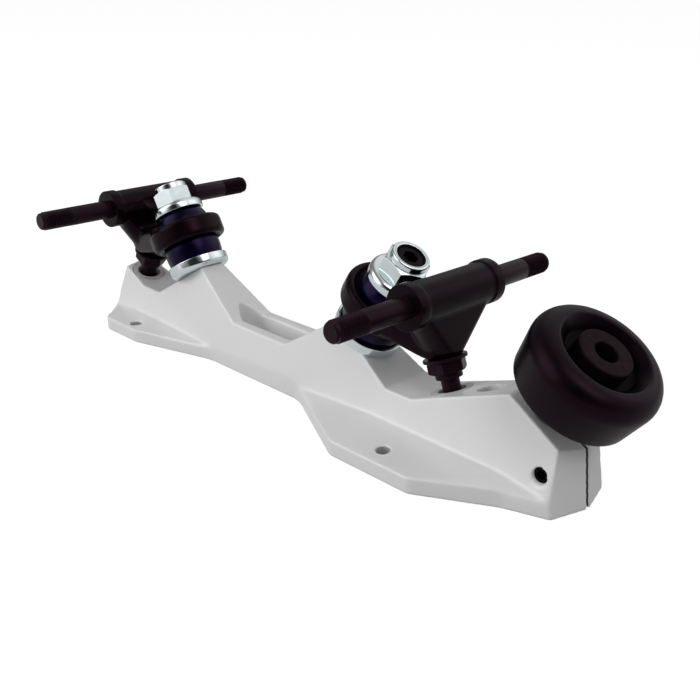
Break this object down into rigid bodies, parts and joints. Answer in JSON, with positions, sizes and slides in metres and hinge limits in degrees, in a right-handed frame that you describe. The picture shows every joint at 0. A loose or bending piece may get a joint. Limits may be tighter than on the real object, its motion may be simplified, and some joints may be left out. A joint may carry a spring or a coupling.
{
  "type": "roller skate plate",
  "caption": "Quad roller skate plate with sprung trucks on angled kingpins and an adjustable toe stop, lying on its boot face.",
  "frame": {"origin": "on the boot face, on the centreline, midway between the two axles", "axes": "+X towards the toe, +Y to the left of the plate as it lies, +Z from the boot face to the trucks"},
  "size_m": [0.2801, 0.11, 0.0707],
  "materials": {
    "white_paint": "satin",
    "black_paint": "satin",
    "black_steel": "satin",
    "zinc": "gloss",
    "urethane": "satin",
    "black_rubber": "matte",
    "hub_plastic": "matte",
    "cup_plastic": "matte",
    "lock_nylon": "matte"
  },
  "bodies": {
    "plate": {"plate": "white_paint", "toe_clamp_screw": "black_steel", "front_pivot_cup": "cup_plastic", "front_kingpin": "black_steel", "front_lower_retainer": "zinc", "front_lower_cushion": "urethane", "front_upper_cushion": "urethane", "front_upper_retainer": "zinc", "front_kingpin_nut": "zinc", "front_nut_locking_ring": "lock_nylon", "rear_pivot_cup": "cup_plastic", "rear_kingpin": "black_steel", "rear_lower_retainer": "zinc", "rear_lower_cushion": "urethane", "rear_upper_cushion": "urethane", "rear_upper_retainer": "zinc", "rear_kingpin_nut": "zinc", "rear_nut_locking_ring": "lock_nylon"},
    "front_truck": {"front_hanger": "black_paint", "front_axle": "black_steel", "front_pivot_pin": "black_steel", "front_pivot_jam_nut": "black_steel", "front_pivot_washer": "black_steel"},
    "rear_truck": {"rear_hanger": "black_paint", "rear_axle": "black_steel", "rear_pivot_pin": "black_steel", "rear_pivot_jam_nut": "black_steel", "rear_pivot_washer": "black_steel"},
    "toe_stop": {"toe_stop_rubber": "black_rubber", "toe_stop_hub": "hub_plastic", "toe_stop_stem": "black_steel"}
  },
  "joints": [
    {"name": "front_truck_steer", "type": "hinge", "parent": "plate", "child": "front_truck", "pos_m": [0.09567, 0, 0.01924], "axis": [-0.7759, 0, 0.6309], "range_deg": [-10, 10], "stiffness_Nm_per_rad": 8, "deforming": ["front_lower_cushion", "front_upper_cushion"]},
    {"name": "rear_truck_steer", "type": "hinge", "parent": "plate", "child": "rear_truck", "pos_m": [-0.09567, 0, 0.01924], "axis": [0.7759, 0, 0.6309], "range_deg": [-10, 10], "stiffness_Nm_per_rad": 8, "deforming": ["rear_lower_cushion", "rear_upper_cushion"]},
    {"name": "toe_stop_height", "type": "slide", "parent": "plate", "child": "toe_stop", "axis": [0.5314, 0, 0.8471], "range_m": [-0.007, 0.003]}
  ]
}
